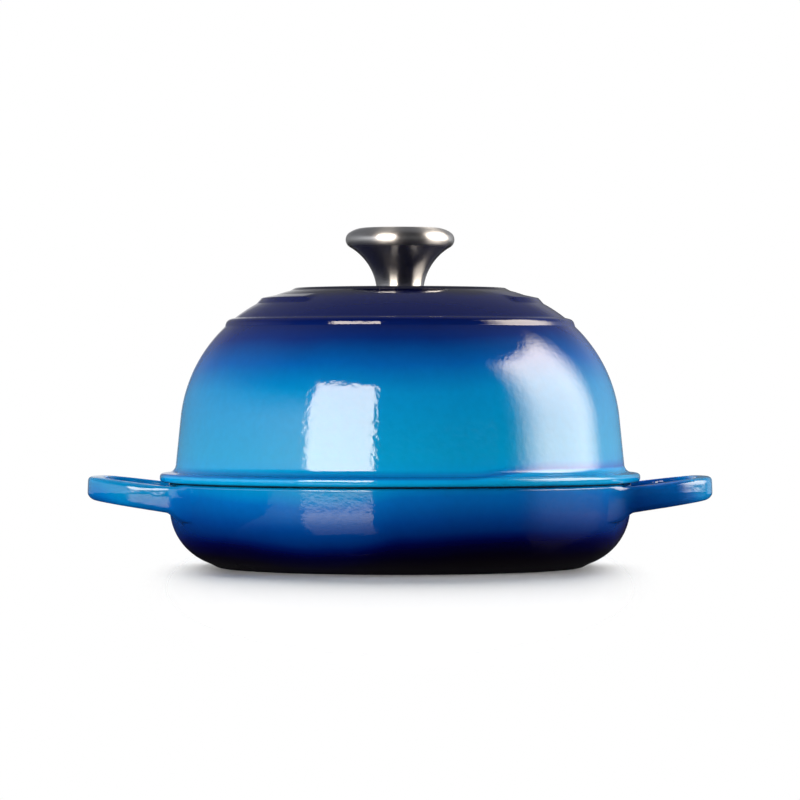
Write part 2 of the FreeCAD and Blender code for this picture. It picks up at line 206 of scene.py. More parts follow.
def cast(distance, low, high, cell, evened=3, settled=2, draws=2):
    """The surface of a solid given by a distance, as points, their normals and four-sided faces.

    One point stands in each cell that the surface crosses. The points are evened out among their
    neighbours and drawn onto the surface, evened times over, and then settled times only drawn onto it.
    """
    axes = [np.arange(start, end + cell, cell) for start, end in zip(low, high)]
    inside = distance(*np.meshgrid(*axes, indexing="ij")) < 0
    cells = [len(axis) - 1 for axis in axes]
    count = np.zeros(cells, np.int8)
    for corner in np.ndindex(2, 2, 2):
        count += inside[tuple(slice(c, c + n) for c, n in zip(corner, cells))]
    mixed = (count > 0) & (count < 8)
    number = np.full(cells, -1)
    number[mixed] = np.arange(mixed.sum())
    points = np.argwhere(mixed) * cell + [axis[0] + cell / 2 for axis in axes]
    faces = []
    for axis in range(3):
        crossing = np.diff(inside.astype(np.int8), axis=axis)
        edges = np.argwhere(crossing != 0)
        one, other = np.roll(np.eye(3, dtype=int), -axis - 1, axis=0)[:2]
        around = [edges, edges - one, edges - one - other, edges - other]
        quads = np.stack([number[tuple(place.T)] for place in around], axis=1)
        entering = crossing[tuple(edges.T)] > 0
        quads[entering] = quads[entering][:, ::-1]
        faces.append(quads)
    faces = np.concatenate(faces)

    def slope(places):
        reach = cell / 20
        steps = np.eye(3) * reach
        rises = [distance(*(places + step).T) - distance(*(places - step).T) for step in steps]
        return np.stack(rises, axis=1) / (2 * reach)

    starts = faces.ravel()
    ends = np.roll(faces, -1, axis=1).ravel()
    ties = np.bincount(starts, minlength=len(points))[:, None]
    for turn in range(evened + settled):
        if turn < evened:
            totals = [np.bincount(starts, points[ends, axis], len(points)) for axis in range(3)]
            points = np.stack(totals, axis=1) / ties
        for _ in range(draws):
            lean = slope(points)
            points = points - lean * (distance(*points.T) / (lean**2).sum(axis=1))[:, None]
    normals = slope(points)
    return points, normals / np.linalg.norm(normals, axis=1)[:, None], faces


def piece(name, points, faces, normals=None):
    """A smooth mesh object in the model's frame."""
    mesh = bpy.data.meshes.new(name)
    mesh.from_pydata([tuple(point) for point in points], [], [tuple(face) for face in faces])
    mesh.validate()
    mesh.shade_smooth()
    if normals is not None:
        mesh.normals_split_custom_set_from_vertices([tuple(normal) for normal in normals])
    made = bpy.data.objects.new(name, mesh)
    bpy.context.scene.collection.objects.link(made)
    return made


class Shade:
    """A socket of a material. Sums on it add Math nodes, and add() adds any other node."""

    def __init__(self, tree, socket=None):
        self.tree = tree
        self.socket = socket

    def add(self, kind, settings=None, inputs=None, output=0):
        node = self.tree.nodes.new(kind)
        for name, value in (settings or {}).items():
            if name == "stops":
                ramp = node.color_ramp.elements
                while len(ramp) < len(value):
                    ramp.new(1)
                for stop, (position, colour) in zip(ramp, value):
                    stop.position = position
                    stop.color = (*colour, 1)
            else:
                setattr(node, name, value)
        for name, value in (inputs or {}).items():
            if isinstance(value, Shade):
                self.tree.links.new(value.socket, node.inputs[name])
            else:
                node.inputs[name].default_value = value
        return Shade(self.tree, node.outputs[output] if node.outputs else None)

    def sum(self, operation, first, second):
        return self.add("ShaderNodeMath", {"operation": operation}, {0: first, 1: second})

    def __add__(self, other):
        return self.sum("ADD", self, other)

    def __radd__(self, other):
        return self.sum("ADD", other, self)

    def __sub__(self, other):
        return self.sum("SUBTRACT", self, other)

    def __rsub__(self, other):
        return self.sum("SUBTRACT", other, self)

    def __mul__(self, other):
        return self.sum("MULTIPLY", self, other)

    def __rmul__(self, other):
        return self.sum("MULTIPLY", other, self)

    def __pow__(self, other):
        return self.sum("POWER", self, other)

    def above(self, least):
        return self.sum("MAXIMUM", self, least)

    def axes(self):
        """The three parts of a place or direction."""
        return [self.add("ShaderNodeSeparateXYZ", inputs={0: self}, output=axis) for axis in "XYZ"]

    def cloud(self, scale, detail=2.0):
        """Soft noise about one half, at this place."""
        return self.add("ShaderNodeTexNoise", inputs={"Vector": self, "Scale": scale, "Detail": detail})

    def ramp(self, start, end):
        """0 up to start and 1 from end on, with a soft turn at both."""
        settings = {"interpolation_type": "SMOOTHSTEP"}
        return self.add("ShaderNodeMapRange", settings, {"Value": self, "From Min": start, "From Max": end})

    def between(self, first, last):
        """A colour from first to last, by this share."""
        return self.add("ShaderNodeMix", {"data_type": "RGBA"}, {0: self, 6: first, 7: last}, output=2)


def new_finish(name):
    """An empty material, and the start of its nodes."""
    material = bpy.data.materials.new(name)
    material.use_nodes = True
    material.node_tree.nodes.clear()
    return material, Shade(material.node_tree)


drift_scale = 18.0
drift_depth = 0.006
drift_run = 0.015
cover_scale = 240.0
cover_detail = 3.0
cover_spread = 0.16
peel_scale = 320.0
peel_strength = 0.28
peel_depth = 0.0003
gloss_index = 1.46
gloss_roughness = 0.03
gloss_roughness_spread = 0.03
gloss_roughness_scale = 60.0
satin_black = (0.004, 0.004, 0.005, 1)
satin_grey = (0.012, 0.012, 0.013, 1)
satin_index = 1.22
satin_roughness = 0.34
satin_roughness_spread = 0.14
pore_scale = 900.0
pore_strength = 0.25
pore_depth = 0.0002


def enamel(name, shades, outward_lift, even_to, painted_light_of, black_of):
    """Sprayed enamel, shaded by height, outside, and satin black enamel inside.

    shades are (height, colour) from the lowest up. They reach outward_lift lower for each metre
    outside the pan's wall, and lower by painted_light_of, which takes the place across and paints
    light and shade from the lamps at the sides into the colour. Up to the height even_to they have
    no drift. black_of takes the distance from the axis and the height, and gives the share of the
    black enamel.
    """
    material, start = new_finish(name)
    place = start.add("ShaderNodeTexCoord", output="Object")
    x, y, z = place.axes()
    from_axis = (x * x + y * y) ** 0.5

    # The spray drifts a few millimetres up and down, and its cover is a little uneven
    drift = (place.cloud(drift_scale) - 0.5) * drift_depth * z.ramp(even_to, even_to + drift_run)
    # The term by the place across is painted light and shade, as the lamps at the sides would give.
    lift = (from_axis - wall_radius).above(0) * outward_lift + painted_light_of(x)
    lowest, highest = shades[0][0], shades[-1][0]
    share = (z + lift + drift - lowest) * (1 / (highest - lowest))
    stops = [((height - lowest) / (highest - lowest), colour) for height, colour in shades]
    blue = start.add("ShaderNodeValToRGB", {"stops": stops}, {0: share})
    cover = (place.cloud(cover_scale, cover_detail) - 0.5) * cover_spread + 1
    multiply = {"data_type": "RGBA", "blend_type": "MULTIPLY"}
    blue = start.add("ShaderNodeMix", multiply, {0: 1.0, 6: blue, 7: cover}, output=2)
    peel = start.add(
        "ShaderNodeBump",
        inputs={"Strength": peel_strength, "Distance": peel_depth, "Height": place.cloud(peel_scale)},
    )
    gloss = start.add(
        "ShaderNodeBsdfPrincipled",
        inputs={
            "Base Color": blue,
            "Roughness": gloss_roughness + place.cloud(gloss_roughness_scale) * gloss_roughness_spread,
            "IOR": gloss_index,
            "Normal": peel,
        },
    )
    grit = place.cloud(pore_scale)
    pores = start.add(
        "ShaderNodeBump",
        inputs={"Strength": pore_strength, "Distance": pore_depth, "Height": grit},
    )
    satin = start.add(
        "ShaderNodeBsdfPrincipled",
        inputs={
            "Base Color": grit.between(satin_black, satin_grey),
            "Roughness": satin_roughness + grit * satin_roughness_spread,
            "IOR": satin_index,
            "Normal": pores,
        },
    )
    both = start.add("ShaderNodeMixShader", inputs={0: black_of(from_axis, z), 1: gloss, 2: satin})
    start.add("ShaderNodeOutputMaterial", inputs={"Surface": both})
    return material


pan_shades = [
    (0.0040, (0.0010, 0.0004, 0.0016)),
    (0.0085, (0.0010, 0.0004, 0.0045)),
    (0.0110, (0.0010, 0.0005, 0.0140)),
    (0.0135, (0.0008, 0.0006, 0.0280)),
    (0.0160, (0.0004, 0.0022, 0.0620)),
    (0.0185, (0.0000, 0.0105, 0.1260)),
    (0.0210, (0.0000, 0.0285, 0.1960)),
    (0.0280, (0.0000, 0.0640, 0.3250)),
    (0.0390, (0.0000, 0.1580, 0.5600)),
    (0.0425, (0.0000, 0.2450, 0.6600)),
    (0.0470, (0.0000, 0.3200, 0.7000)),
]
pan_outward_lift = 0.09
pan_even_to = -drift_run
# Painted light and shade on the pan: lighter to the left and on the left arm, darker on the right arm in
# the pan's shadow.
pan_painted_light_depth = 0.0025
pan_painted_light_reach = 0.038
front_light_start = (-0.080, -0.040)
front_light_end = (-0.032, 0.004)
front_light_lift = 0.0046
arm_light_start = (0.110, 0.124)
arm_light_end = (0.142, 0.158)
left_arm_light_lift = 0.0065
right_arm_shadow_drop = 0.0105
black_edge = 0.0003
rim_black_drops = (0.0006, 0.0002)
rim_black_insets = (0.0013, 0.0007)
foot_mist = 0.25
foot_mist_top = 0.010


def pan_painted_light(across):
    """Painted light and shade: the shades reach lower, so the blue is lighter, to the left of the middle
    than to the right, where the left lamp falls, lighter again in a band left of the middle where the left
    soft box's reflection falls and on the left arm, and darker on the right arm, which lies in the pan's
    shadow.
    """
    turn = across * (1 / pan_painted_light_reach)
    side_light = across.add("ShaderNodeMath", {"operation": "SINE"}, {0: turn}) * -pan_painted_light_depth
    to_left = 0 - across
    left_arm_lit = to_left.ramp(*arm_light_start) * (1 - to_left.ramp(*arm_light_end))
    right_arm_shaded = across.ramp(*arm_light_start) * (1 - across.ramp(*arm_light_end))
    # Painted light: a band left of the middle is lighter where the left soft box's reflection falls.
    front = across.ramp(*front_light_start) * (1 - across.ramp(*front_light_end)) * front_light_lift
    return side_light + front + left_arm_lit * left_arm_light_lift - right_arm_shaded * right_arm_shadow_drop


def pan_black(from_axis, height):
    """The inside, as far as a bowl in the middle of the iron, the rim, and a mist over the foot."""
    curve = (outer_curve + inner_curve) / 2
    across = (from_axis - (rim_radius - wall / 2 - curve)).above(0)
    below = (floor_height / 2 + curve - height).above(0)
    inside = 1 - ((across * across + below * below) ** 0.5).ramp(curve - black_edge, curve + black_edge)
    on_rim = height.ramp(*(rim_height - drop for drop in rim_black_drops))
    on_rim = on_rim * (1 - from_axis.ramp(*(rim_radius - inset for inset in rim_black_insets)))
    mist = foot_mist * (1 - height.ramp(foot_height, foot_mist_top))
    return inside.above(on_rim).above(mist)


pan_low = [low - 2 * pan_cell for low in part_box("base_pan")[0]]
pan_high = [high + 2 * pan_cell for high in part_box("base_pan")[1]]
points, normals, faces = cast(pan_distance, pan_low, pan_high, pan_cell)
pan = piece("enamelled_pan", points, faces, normals)
pan_enamel = enamel("pan_enamel", pan_shades, pan_outward_lift, pan_even_to, pan_painted_light, pan_black)
pan.data.materials.append(pan_enamel)
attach(pan, "base")
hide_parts("base_pan")

# Lid: one iron casting, a dome with a lip over the pan's rim and a skirt that drops inside it.
# Three rings step its crown, and the middle one stops short of the front. It is enamelled like
# the pan, shaded from light blue at the lip to navy at the crown.

lid_low, lid_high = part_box("dome_lid")
lip_radius = min(lid_high.x, lid_high.y, -lid_low.y)
lip_rise = 0.0006
lip_thickness = 0.0044
lip_slope = 0.0008
lip_low_round = 0.0020
lip_top_round = 0.0019
lip_fillet = 0.0045
lid_wall = 0.0042
crown_wall = 0.0046
skirt_gap = 0.0008
skirt_round = 0.0008
dome_inset = 0.0036
dome_side = 0.0291
dome_lean = math.radians(5.66)
dome_inner_lean = math.radians(3.8)
dome_curve = 0.0764
dome_steps = 24
dome_inner_steps = 40
ceiling_seat_radius = 0.014
screw_hole_radius = 0.0035
plateau_radius = 0.0552
plateau_run = 0.0026
plateau_round = 0.0012
rib_radius = 0.0727
rib_stand = 0.0016
rib_run = 0.0027
rib_ledge = 0.0074
rib_round = 0.0015
rib_gap = math.radians(89)
rib_end_run = math.radians(4)
rib_gap_middle = math.radians(-84)
shoulder_radius = 0.0909
shoulder_stand = 0.0026
shoulder_run = 0.0010
shoulder_ledge = 0.0042
shoulder_round = 0.0034
ring_root_fillet = 0.0012
ring_root_clear = 0.0015
crown_clear = 0.002
knob_seat_clear = 0.020
lid_turns = 288

lip_seat = rim_height + lip_rise
lip_top = lip_seat + lip_thickness
skirt_radius = rim_radius - wall - skirt_gap
dome_foot = rim_radius - dome_inset
dome_start = Vector((dome_foot - dome_side * math.tan(dome_lean), lip_top + dome_side))
dome_centre = dome_start - dome_curve * Vector((math.cos(dome_lean), math.sin(dome_lean)))
plateau_height = lid_high.z
ceiling_height = plateau_height - crown_wall


def dome_point(angle, curve=dome_curve):
    """The point at an angle on the dome's curve, or on one round the same centre."""
    return dome_centre + curve * Vector((math.cos(angle), math.sin(angle)))


def dome_angle(radius, curve=dome_curve):
    """The angle on such a curve at a distance from the axis."""
    return math.acos((radius - dome_centre.x) / curve)


def dome_at(radius, stand=0.0):
    """The dome's point at a distance from the axis, lifted by a stand."""
    return dome_point(dome_angle(radius)) + Vector((0, stand))


def arc(first, last, curve, steps):
    """Stops along the dome's curve, both ends included."""
    return [(dome_point(first + (last - first) * k / steps, curve), 0) for k in range(steps + 1)]


def crown_ring(radius, stand, run, ledge, rounding):
    """The stops of a step in the crown, from its foot outside to where its ledge leaves the dome."""
    return [
        (dome_at(radius + run), ring_root_fillet),
        (dome_at(radius, stand), rounding),
        (dome_at(radius - ledge), ring_root_fillet),
    ]


def path(stops, arc_steps=8, longest=0.002, straight=math.radians(178)):
    """Close points along straight runs between stops, whose corners are rounded where they say so."""
    marks = [Vector(stops[0][0])]
    for (before, _), (corner, rounding), (after, _) in zip(stops, stops[1:], stops[2:]):
        corner = Vector(corner)
        back = (Vector(before) - corner).normalized()
        ahead = (Vector(after) - corner).normalized()
        half = back.angle(ahead) / 2
        if rounding and half < straight / 2:
            centre = corner + (back + ahead).normalized() * (rounding / math.sin(half))
            first = corner + back * (rounding / math.tan(half)) - centre
            last = corner + ahead * (rounding / math.tan(half)) - centre
            spokes = [first.slerp(last, step / arc_steps) for step in range(arc_steps + 1)]
            marks += [centre + spoke.normalized() * rounding for spoke in spokes]
        else:
            marks.append(corner)
    marks.append(Vector(stops[-1][0]))
    close = []
    for start, end in zip(marks, marks[1:]):
        pieces = max(1, math.ceil((end - start).length / longest))
        close += [start.lerp(end, k / pieces) for k in range(pieces)]
    return np.array([tuple(mark) for mark in close + [marks[-1]]])


def lid_outside(with_rib):
    """The lid's outer line, from the foot of its skirt up to the screw hole."""
    stops = [
        ((skirt_radius - lid_wall / 2, lid_low.z), 0),
        ((skirt_radius, lid_low.z), skirt_round),
        ((skirt_radius, rim_height), skirt_round),
        ((rim_radius - rim_round, rim_height), 0),
        ((lip_radius, lip_seat), lip_low_round),
        ((lip_radius, lip_top), lip_top_round),
        ((dome_foot, lip_top + lip_slope), lip_fillet),
    ]
    rings = [(shoulder_radius, shoulder_stand, shoulder_run, shoulder_ledge, shoulder_round)]
    if with_rib:
        rings.append((rib_radius, rib_stand, rib_run, rib_ledge, rib_round))
    last = dome_lean
    for radius, stand, run, ledge, rounding in rings:
        stops += arc(last, dome_angle(radius + run + ring_root_clear), dome_curve, dome_steps)
        stops += crown_ring(radius, stand, run, ledge, rounding)
        last = dome_angle(radius - ledge - ring_root_clear)
    plateau_foot = plateau_radius + plateau_run
    stops += arc(last, dome_angle(plateau_foot + ring_root_clear), dome_curve, dome_steps)
    stops += [
        (dome_at(plateau_foot), ring_root_fillet),
        ((plateau_radius, plateau_height), plateau_round),
        ((screw_hole_radius, plateau_height), 0),
    ]
    return path(stops)


def lid_inside():
    """The lid's inner line, from the screw hole down to the foot of its skirt."""
    curve = dome_curve - lid_wall
    side_start = dome_point(dome_inner_lean, curve)
    mouth_radius = side_start.x + (side_start.y - lid_low.z) * math.tan(dome_inner_lean)
    stops = [
        ((screw_hole_radius, ceiling_height), 0),
        ((ceiling_seat_radius, ceiling_height), 0),
        *arc(dome_angle(plateau_radius - plateau_run, curve), dome_inner_lean, curve, dome_inner_steps),
        ((mouth_radius, lid_low.z), skirt_round),
        ((skirt_radius - lid_wall / 2, lid_low.z), 0),
    ]
    return path(stops)[:-1]


def turned(profiles, turns):
    """Points and faces of closed profiles set round the axis, one for each turn."""
    rows = len(profiles[0])
    points = []
    for turn, profile in enumerate(profiles):
        angle = 2 * math.pi * turn / turns
        radius, height = profile[:, 0], profile[:, 1]
        points.append(np.stack([radius * math.cos(angle), radius * math.sin(angle), height], axis=1))
    faces = []
    for turn in range(turns):
        here, there = turn * rows, (turn + 1) % turns * rows
        for row in range(rows):
            after = (row + 1) % rows
            faces.append((here + row, there + row, there + after, here + after))
    return np.concatenate(points), faces


ribbed = lid_outside(with_rib=True)
plain = lid_outside(with_rib=False)
# Above the shoulder both lines are a height for each distance from the axis, so they can be mixed
crown_start = shoulder_radius - shoulder_ledge - crown_clear
ribbed_crown = ribbed[ribbed[:, 0] < crown_start]
plain_heights = np.interp(-ribbed_crown[:, 0], -plain[:, 0], plain[:, 1])
outer_line = ribbed[ribbed[:, 0] >= crown_start]
inner_line = lid_inside()
profiles = []
for turn in range(lid_turns):
    angle = 2 * math.pi * turn / lid_turns
    off_gap = abs((angle - rib_gap_middle + math.pi) % (2 * math.pi) - math.pi) - rib_gap / 2
    share = smooth_share(off_gap, 0, rib_end_run)
    heights = plain_heights + (ribbed_crown[:, 1] - plain_heights) * share
    crown = np.stack([ribbed_crown[:, 0], heights], axis=1)
    outside = np.concatenate([outer_line, crown])
    along = np.gradient(outside, axis=0)
    along /= np.hypot(along[:, 0], along[:, 1])[:, None]
    depth = ripple(outside[:, 0] * math.cos(angle), outside[:, 0] * math.sin(angle), outside[:, 1])
    depth *= smooth_share(outside[:, 1], lip_top, lip_top + lip_fillet)
    depth *= smooth_share(outside[:, 0], knob_seat_clear, plateau_radius)
    waved = outside + depth[:, None] * np.stack([-along[:, 1], along[:, 0]], axis=1)
    profiles.append(np.concatenate([waved, inner_line]))
points, faces = turned(profiles, lid_turns)
lid = piece("enamelled_lid", points, faces)

# Painted shade, partly real: the hollow above the lip is darker where shade falls in it, and the enamel
# runs thicker there too
lid_shades_and_painted_shade = [
    (0.0450, (0.0020, 0.4200, 0.8200)),
    (0.0478, (0.0000, 0.4500, 0.9400)),
    (0.0490, (0.0000, 0.1650, 0.5800)),
    (0.0505, (0.0000, 0.2600, 0.6600)),
    (0.0530, (0.0000, 0.3900, 0.7500)),
    (0.0600, (0.0000, 0.4000, 0.7400)),
    (0.0780, (0.0000, 0.3600, 0.7300)),
    (0.0920, (0.0000, 0.3150, 0.7000)),
    (0.1060, (0.0000, 0.1350, 0.5000)),
    (0.1190, (0.0006, 0.0280, 0.2100)),
    (0.1280, (0.0009, 0.0085, 0.1000)),
    (0.1405, (0.0010, 0.0068, 0.0850)),
    # Painted shade: the top stop darkens the top of the crown and the flat round the knob, as shade under
    # the knob
    (0.1435, (0.0010, 0.0018, 0.0200)),
]
lid_outward_lift = 0.0
# Painted light: the right side of the lid is drawn lighter, as the lamp at the right would make it.
lid_painted_light_depth = 0.0045
lid_painted_light_run = (0.03, 0.08)
bell_edge_share = 0.005
bell_turn = 0.001
bell_side_insets = (0.004, 0.003)
seat_edge = 0.0004


def lid_painted_light(across):
    """Painted light: the light part of the shades reaches higher at the right, as the lamp at the right
    lights it.
    """
    return across.ramp(*lid_painted_light_run) * -lid_painted_light_depth


def lid_black(from_axis, height):
    """The bell inside the dome, and the seat and skirt under the lip."""
    bell = (dome_curve - lid_wall / 2) ** 2
    across = from_axis - dome_centre.x
    above = height - dome_centre.y
    from_centre = across * across * across.ramp(-bell_turn, bell_turn) + above * above
    in_curve = 1 - from_centre.ramp(bell * (1 - bell_edge_share), bell * (1 + bell_edge_share))
    in_side = 1 - from_axis.ramp(*(dome_foot - inset for inset in bell_side_insets))
    high = height.ramp(dome_centre.y, dome_centre.y + bell_turn)
    in_bell = in_side + high * (in_curve - in_side)
    under_seat = 1 - height.ramp(lip_seat, lip_seat + seat_edge)
    return in_bell + under_seat * (1 - in_bell)


lid_enamel = enamel("lid_enamel", lid_shades_and_painted_shade, lid_outward_lift, lip_top, lid_painted_light, lid_black)
lid.data.materials.append(lid_enamel)
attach(lid, "lid")
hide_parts("dome_lid")

# Knob: a hollow flared shell of stainless steel, spun to shape and given a satin polish.
# It stands on the flat top of the lid, and its rim and top are brushed duller than its neck.

knob_low, knob_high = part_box("knob_shell")
knob_radius = knob_high.x
knob_neck_radius = 0.0122
knob_flare = 0.0284
knob_rim_round = 0.0046
knob_top_run = 0.0054
knob_top_rise = 0.0016
knob_wall = 0.0020
knob_seat_radius = 0.01106
knob_seat_height = 0.0025
knob_turns = 128
flare_steps = 40
rim_steps = 24
crown_steps = 10
flat_steps = 8
same_place = 1e-7
no_length = 1e-8

knob_rim_centre = Vector((knob_radius - knob_rim_round, knob_high.z - knob_top_rise - knob_rim_round))
flare_radius = knob_neck_radius + knob_flare
flare_drop = math.sqrt((knob_flare + knob_rim_round) ** 2 - (flare_radius - knob_rim_centre.x) ** 2)
flare_centre = Vector((flare_radius, knob_rim_centre.y - flare_drop))


def knob_line(inset, bottom):
    """The knob's line, drawn in by an inset, from its foot up over the rim to the axis."""

    def spoke(centre, length, first, last, steps):
        angles = [first + (last - first) * k / steps for k in range(steps + 1)]
        return [centre + length * Vector((math.cos(angle), math.sin(angle))) for angle in angles]

    touch = math.atan2(flare_centre.y - knob_rim_centre.y, flare_centre.x - knob_rim_centre.x)
    foot = math.asin((bottom - flare_centre.y) / (knob_flare + inset))
    crown_angle = math.pi / 2 - 2 * math.atan(knob_top_rise / knob_top_run)
    crown = knob_top_run / math.cos(crown_angle)
    crown_centre = knob_rim_centre - crown * Vector((math.cos(crown_angle), math.sin(crown_angle)))
    rim = knob_rim_round - inset
    line = spoke(flare_centre, knob_flare + inset, math.pi - foot, math.pi + touch, flare_steps)
    line += spoke(knob_rim_centre, rim, touch, crown_angle, rim_steps)[1:]
    line += spoke(crown_centre, crown + rim, crown_angle, math.pi / 2, crown_steps)[1:]
    top = line[-1].y
    line += [Vector((crown_centre.x * (1 - k / flat_steps), top)) for k in range(1, flat_steps + 1)]
    return np.array([tuple(mark) for mark in line])


def capped(name, profile, turns):
    """A piece turned about the axis from a closed line that touches it."""
    points, faces = turned([profile] * turns, turns)
    made = piece(name, points, faces)
    shape = bmesh.new()
    shape.from_mesh(made.data)
    bmesh.ops.remove_doubles(shape, verts=shape.verts, dist=same_place)
    bmesh.ops.dissolve_degenerate(shape, edges=shape.edges, dist=no_length)
    shape.to_mesh(made.data)
    shape.free()
    return made


steel_ring_scale = 2600.0
steel_ring_wander = 0.02
steel_cloud_scale = 70.0
steel_detail = 3.0
steel_levels = (0.90, 1.06)
steel_ring_strength = 0.12
steel_ring_depth = 0.0001
steel_cloud_dulling = 0.08
steel_ring_dulling = 0.06
steel_streak = 0.85
steel_streak_turn = 0.25


def satin_steel(name, tone, roughness, brushed_roughness, brushed_from):
    """Stainless steel with the fine rings that turning and polishing leave.

    It is brushed dull above brushed_from, which gives the heights where that starts and is full.
    """
    material, start = new_finish(name)
    place = start.add("ShaderNodeTexCoord", output="Object")
    x, y, z = place.axes()
    from_axis = (x * x + y * y) ** 0.5
    ring_parts = {0: from_axis, 1: z, 2: x * steel_ring_wander}
    rings = start.add("ShaderNodeCombineXYZ", inputs=ring_parts).cloud(steel_ring_scale, steel_detail)
    clouds = place.cloud(steel_cloud_scale, steel_detail)
    low, high = ([part * level for part in tone] + [1] for level in steel_levels)
    bump = start.add(
        "ShaderNodeBump",
        inputs={"Strength": steel_ring_strength, "Distance": steel_ring_depth, "Height": rings},
    )
    dullness = roughness + z.ramp(*brushed_from) * (brushed_roughness - roughness)
    unevenness = (clouds - 0.5) * steel_cloud_dulling + (rings - 0.5) * steel_ring_dulling
    shader = start.add(
        "ShaderNodeBsdfPrincipled",
        inputs={
            "Base Color": rings.between(low, high),
            "Metallic": 1.0,
            "Roughness": dullness + unevenness,
            "Anisotropic": steel_streak,
            "Anisotropic Rotation": steel_streak_turn,
            "Normal": bump,
        },
    )
    start.add("ShaderNodeOutputMaterial", inputs={"Surface": shader})
    return material


knob_tone = (0.56, 0.57, 0.59)
knob_roughness = 0.20
knob_brushed_roughness = 0.33
knob_rim_low = knob_rim_centre.y - knob_rim_round
knob_brushed_from = (knob_rim_low, knob_rim_low + knob_rim_round / 2)

seat_top = knob_low.z + knob_seat_height
outer = knob_line(0, knob_low.z)
inner = knob_line(knob_wall, seat_top)
foot = np.array([(knob_seat_radius, seat_top), (knob_seat_radius, knob_low.z)])
knob = capped("knob_cap", np.concatenate([outer, inner[::-1], foot]), knob_turns)
knob_steel = satin_steel("knob_steel", knob_tone, knob_roughness, knob_brushed_roughness, knob_brushed_from)
knob.data.materials.append(knob_steel)
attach(knob, "lid")
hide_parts("knob_shell")

# Insert, screw and washers: plain stainless steel turned parts, which hold the knob from inside
# the lid. They keep their own shapes.

fastener_tone = (0.52, 0.52, 0.53)
fastener_dullness = 0.32
fastener_steel = satin_steel(
    "fastener_steel", fastener_tone, fastener_dullness, fastener_dullness, knob_brushed_from
)
for name in ("knob_insert", "knob_screw", "flat_washer", "spring_washer"):
    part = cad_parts[name]
    part.data.materials.clear()
    part.data.materials.append(fastener_steel)

# Floor: a wide sheet of pale card, which fades into the white round it. Black cloth under it is what
# the object itself sees, so that no white comes up from below, with two boards of dark acrylic on
# the cloth, in which it sees the soft boxes.

floor_radius = 1.6
floor_fade = (0.085, 0.132)
floor_depth_share = 0.165
floor_tone = (0.95, 0.95, 0.95, 1)
floor_low_tone = (0.92, 0.92, 0.92, 1)
floor_grain_scale = 900.0
cloth_radius = 2.0
cloth_drop = 0.0002
cloth_tone = (0.02, 0.02, 0.022, 1)
cloth_weave_scale = 600.0
cloth_roughness = 0.5
cloth_roughness_spread = 0.2
board_drop = 0.0001
board_reach = (0.08, 1.3)
board_roughness = 0.05
board_steps = 24
disc_sides = 96


def disc(name, radius, height):
    """A flat round sheet, centred on the axis."""
    turns = [2 * math.pi * k / disc_sides for k in range(disc_sides)]
    rim = [(radius * math.cos(turn), radius * math.sin(turn), height) for turn in turns]
    return piece(name, rim, [range(disc_sides)])


def strip(name, azimuths, edges, steps):
    """A sheet bent round the axis, between two edges that are each a reach and a height.

    The azimuths are in radians. Azimuth 0 is the camera's side, and goes round to the right.
    """
    first, last = azimuths
    turns = [first + (last - first) * k / steps for k in range(steps + 1)]
    points = []
    for reach, height in edges:
        points += [(reach * math.sin(turn), -reach * math.cos(turn), height) for turn in turns]
    over = steps + 1
    return piece(name, points, [(k, k + 1, k + 1 + over, k + over) for k in range(steps)])


def staged(made, camera, bounce, gloss):
    """Says whether the camera, bounced light and gloss see a stage piece, and keeps it from casting
    shadows.
    """
    made.visible_camera = camera
    made.visible_diffuse = bounce
    made.visible_glossy = gloss
    made.visible_shadow = False


floor = disc("floor", floor_radius, 0)
material, start = new_finish("pale_card")
place = start.add("ShaderNodeTexCoord", output="Object")
across, deep, _ = place.axes()
deep = deep * floor_depth_share
grain = place.cloud(floor_grain_scale)
card = start.add("ShaderNodeBsdfDiffuse", inputs={"Color": grain.between(floor_low_tone, floor_tone)})
clear = start.add("ShaderNodeBsdfTransparent")
fade = ((across * across + deep * deep) ** 0.5).ramp(*floor_fade)
faded = start.add("ShaderNodeMixShader", inputs={0: fade, 1: card, 2: clear})
start.add("ShaderNodeOutputMaterial", inputs={"Surface": faded})
floor.data.materials.append(material)
staged(floor, camera=True, bounce=False, gloss=False)

cloth = disc("floor_cloth", cloth_radius, -cloth_drop)
material, start = new_finish("floor_cloth")
weave = start.add("ShaderNodeTexNoise", inputs={"Scale": cloth_weave_scale})
nap = cloth_roughness + weave * cloth_roughness_spread
dull = start.add("ShaderNodeBsdfDiffuse", inputs={"Color": cloth_tone, "Roughness": nap})
start.add("ShaderNodeOutputMaterial", inputs={"Surface": dull})
cloth.data.materials.append(material)
staged(cloth, camera=False, bounce=True, gloss=True)


def board(name, azimuths, gloss_share):
    """A flat sector of dark acrylic on the cloth, from one azimuth to another in degrees."""
    turns = [math.radians(azimuth) for azimuth in azimuths]
    made = strip(name, turns, [(reach, -board_drop) for reach in board_reach], board_steps)
    material, start = new_finish(name)
    dull = start.add("ShaderNodeBsdfDiffuse", inputs={"Color": cloth_tone})
    shine = start.add(
        "ShaderNodeBsdfPrincipled",
        inputs={"Base Color": cloth_tone, "Roughness": board_roughness, "IOR": gloss_index},
    )
    both = start.add("ShaderNodeMixShader", inputs={0: gloss_share, 1: dull, 2: shine})
    start.add("ShaderNodeOutputMaterial", inputs={"Surface": both})
    made.data.materials.append(material)
    staged(made, camera=False, bounce=True, gloss=True)


board("left_board", azimuths=(-58, -4), gloss_share=0.54)
board("right_board", azimuths=(40, 134), gloss_share=0.10)

# Light: a bright room, white low down and dark above. One soft light comes from above and behind, and
# three soft fills from the front and the sides. Standing soft boxes and walls show in the gloss, and
# dark and grey cloths all round keep the white room out of it. All of these are glowing sheets that
# only the gloss sees: the cloths glow by themselves rather than being lit.

